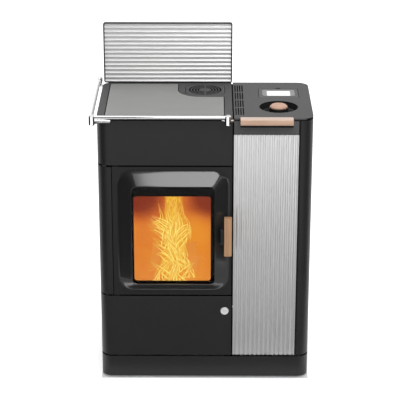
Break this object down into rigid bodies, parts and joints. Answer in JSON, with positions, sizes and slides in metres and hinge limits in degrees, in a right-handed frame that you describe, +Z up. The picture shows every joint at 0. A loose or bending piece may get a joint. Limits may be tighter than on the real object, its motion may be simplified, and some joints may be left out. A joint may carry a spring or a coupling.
{
  "type": "pellet and wood stove",
  "caption": "Free-standing pellet and wood stove with a hob top, glazed fire door, fluted panels, wooden handles, storage drawer, control knob and display.",
  "frame": {"origin": "bottom centre of the bounding box, on the floor", "axes": "+Z up, +X to the right seen from the front, +Y from the front to the back"},
  "size_m": [0.8616, 0.556, 1.3603],
  "materials": {
    "black_steel": "satin black powder coat",
    "grey_steel": "satin dark grey powder coat",
    "hob_steel": "fine matt steel",
    "fluted_aluminium": "satin anodised, fluted",
    "chrome": "polished",
    "polished_steel": "polished steel",
    "wood": "oiled light wood",
    "cast_iron": "matt heat-proof black",
    "vermiculite": "matt pressed vermiculite board",
    "clear_glass": "clear heat-proof glass",
    "gasket": "woven sealing rope",
    "galvanised": "zinc coated sheet",
    "black_plastic": "matt black plastic",
    "display_plastic": "matt grey plastic",
    "screen": "blank white screen"
  },
  "bodies": {
    "stove_body": {"plinth": "black_steel", "upper_casing": "black_steel", "left_column": "black_steel", "lower_side_panel": "black_steel", "right_casing": "black_steel", "back_panel": "black_steel", "knob_well": "black_steel", "splash_frame": "black_steel", "smoke_fan_motor": "black_steel", "auger_motor": "black_steel", "partition_wall": "black_steel", "right_post": "black_steel", "hob_rim": "grey_steel", "outlet_cover": "grey_steel", "control_deck": "grey_steel", "hob_plate": "hob_steel", "splash_panel": "fluted_aluminium", "rail_front": "chrome", "rail_side": "chrome", "rail_post_right": "chrome", "rail_post_left": "chrome", "rail_post_rear": "chrome", "firebox": "cast_iron", "burn_pot": "cast_iron", "firebox_lining": "vermiculite", "smoke_baffle": "vermiculite", "base_plate": "galvanised", "chassis_left": "galvanised", "chassis_right": "galvanised", "ash_pan": "galvanised", "smoke_fan_housing": "galvanised", "flue_collar": "galvanised", "hopper": "galvanised", "auger_tube": "galvanised", "feed_chute": "galvanised", "foot_front_left": "black_plastic", "foot_front_right": "black_plastic", "foot_rear_left": "black_plastic", "foot_rear_right": "black_plastic", "control_box": "black_plastic", "power_inlet": "black_plastic"},
    "fire_door_body": {"fire_door": "black_steel", "glass_retainer": "black_steel", "door_glass": "clear_glass", "door_gasket": "gasket", "handle_bracket": "black_steel"},
    "handle_body": {"handle_arm": "black_steel", "door_handle": "wood"},
    "pellet_door_body": {"pellet_door": "grey_steel", "fluted_panel": "fluted_aluminium", "bar_handle": "wood"},
    "drawer_body": {"drawer_front": "black_steel", "drawer_box": "galvanised"},
    "latch_button_body": {"latch_button": "polished_steel"},
    "knob_body": {"knob_skirt": "black_plastic", "knob_cap": "wood"},
    "display_body": {"display_panel": "display_plastic", "display_screen": "screen"},
    "auger_body": {"auger_screw": "polished_steel"},
    "fan_body": {"smoke_fan_impeller": "galvanised"}
  },
  "joints": [
    {"name": "fire_door_hinge", "type": "hinge", "parent": "stove_body", "child": "fire_door_body", "pos_m": [-0.3333, -0.221, 0.6354], "axis": [0, 0, -1], "range_deg": [0, 100]},
    {"name": "door_handle_pivot", "type": "hinge", "parent": "fire_door_body", "child": "handle_body", "pos_m": [0.08125, -0.266, 0.6354], "axis": [0, 0, -1], "range_deg": [0, 18], "stiffness_Nm_per_rad": 0.6},
    {"name": "pellet_door_tilt", "type": "hinge", "parent": "stove_body", "child": "pellet_door_body", "pos_m": [0.25015, -0.2165, 0.1123], "axis": [1, 0, 0], "range_deg": [0, 12]},
    {"name": "drawer_slide", "type": "slide", "parent": "stove_body", "child": "drawer_body", "axis": [0, -1, 0], "range_m": [0, 0.32]},
    {"name": "latch_button_push", "type": "slide", "parent": "drawer_body", "child": "latch_button_body", "axis": [0, 1, 0], "range_m": [0, 0.004], "stiffness_N_per_m": 300},
    {"name": "knob_turn", "type": "hinge", "parent": "stove_body", "child": "knob_body", "pos_m": [0.30075, -0.08097, 1.088], "axis": [0, 0, 1], "range_deg": [0, 270]},
    {"name": "display_tilt", "type": "hinge", "parent": "stove_body", "child": "display_body", "pos_m": [0.3065, 0.0415, 1.1055], "axis": [1, 0, 0], "range_deg": [0, 35]},
    {"name": "auger_spin", "type": "hinge", "parent": "stove_body", "child": "auger_body", "pos_m": [0.35255, 0.01201, 0.528], "axis": [-0.866, 0, 0.5], "continuous": true},
    {"name": "fan_spin", "type": "hinge", "parent": "stove_body", "child": "fan_body", "pos_m": [0.17675, 0.124, 0.454], "axis": [1, 0, 0], "continuous": true}
  ]
}
